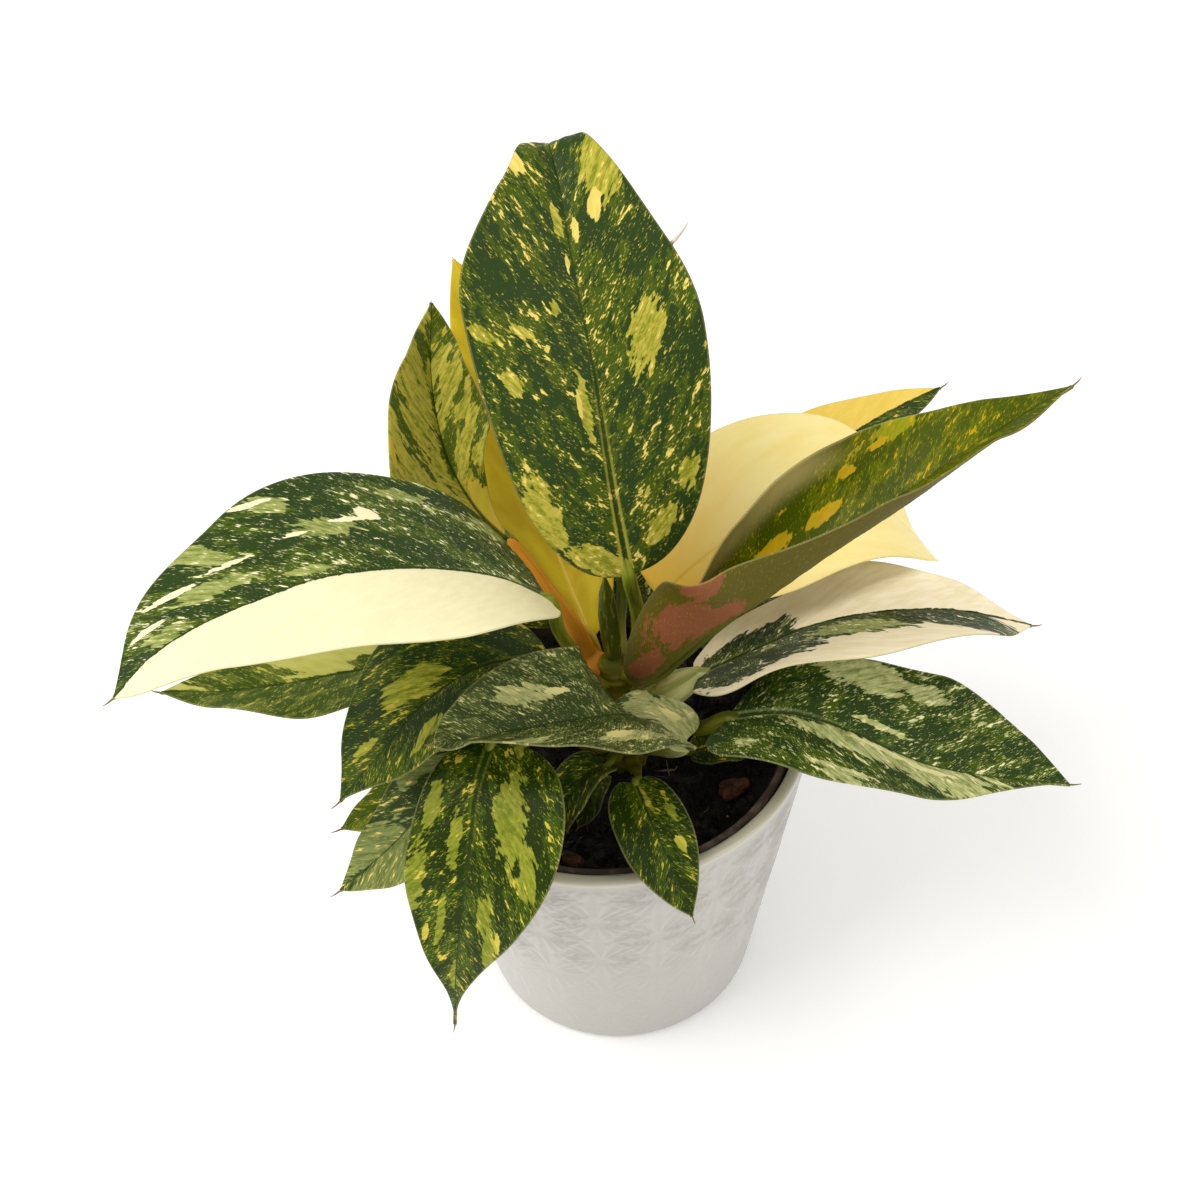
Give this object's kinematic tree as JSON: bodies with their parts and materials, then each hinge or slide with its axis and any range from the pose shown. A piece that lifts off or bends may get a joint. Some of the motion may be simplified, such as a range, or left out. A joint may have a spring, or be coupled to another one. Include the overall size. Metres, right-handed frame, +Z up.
{
  "type": "potted philodendron",
  "caption": "Variegated philodendron house plant with broad green and cream leaves, rooted in a nursery pot that stands inside a white ceramic cover pot.",
  "frame": {"origin": "centre of the cover pot's flat foot, on the surface that it stands on", "axes": "+Z up; -Y towards the side from which the plant is seen; +X to the right of that view"},
  "size_m": [0.2693, 0.2089, 0.3002],
  "materials": {
    "pot_glaze": "satin",
    "pot_plastic": "satin",
    "soil": "matte",
    "bark": "matte",
    "stem": "satin",
    "leaf_green": "satin",
    "leaf_cream": "satin",
    "leaf_gold": "satin"
  },
  "bodies": {
    "root": {"cover_pot": "pot_glaze", "nursery_pot": "pot_plastic", "soil": "soil", "stem": "stem", "new_leaf": "leaf_green", "leaf_top": "leaf_green", "leaf_arch_left": "leaf_green", "leaf_back_left": "leaf_green", "leaf_gold": "leaf_gold", "leaf_cream": "leaf_cream", "leaf_rolled": "leaf_green", "leaf_half_cream": "leaf_green", "leaf_low_right": "leaf_green", "leaf_folded": "leaf_green", "leaf_mid_left": "leaf_green", "leaf_hanging": "leaf_green", "leaf_low_grey": "leaf_green", "leaf_low_green": "leaf_green", "leaf_under_left": "leaf_green", "leaf_small_front": "leaf_green", "leaf_small_right": "leaf_green", "leaf_back_right": "leaf_green", "leaf_drip_tip": "leaf_green", "leaf_far_left": "leaf_green", "leaf_far_mid": "leaf_green", "leaf_far_right": "leaf_green", "leaf_curl_front": "leaf_green", "leaf_curl_low": "leaf_green", "bark_chip_a": "bark", "bark_chip_b": "bark", "bark_chip_c": "bark", "bark_chip_d": "bark"}
  },
  "joints": []
}
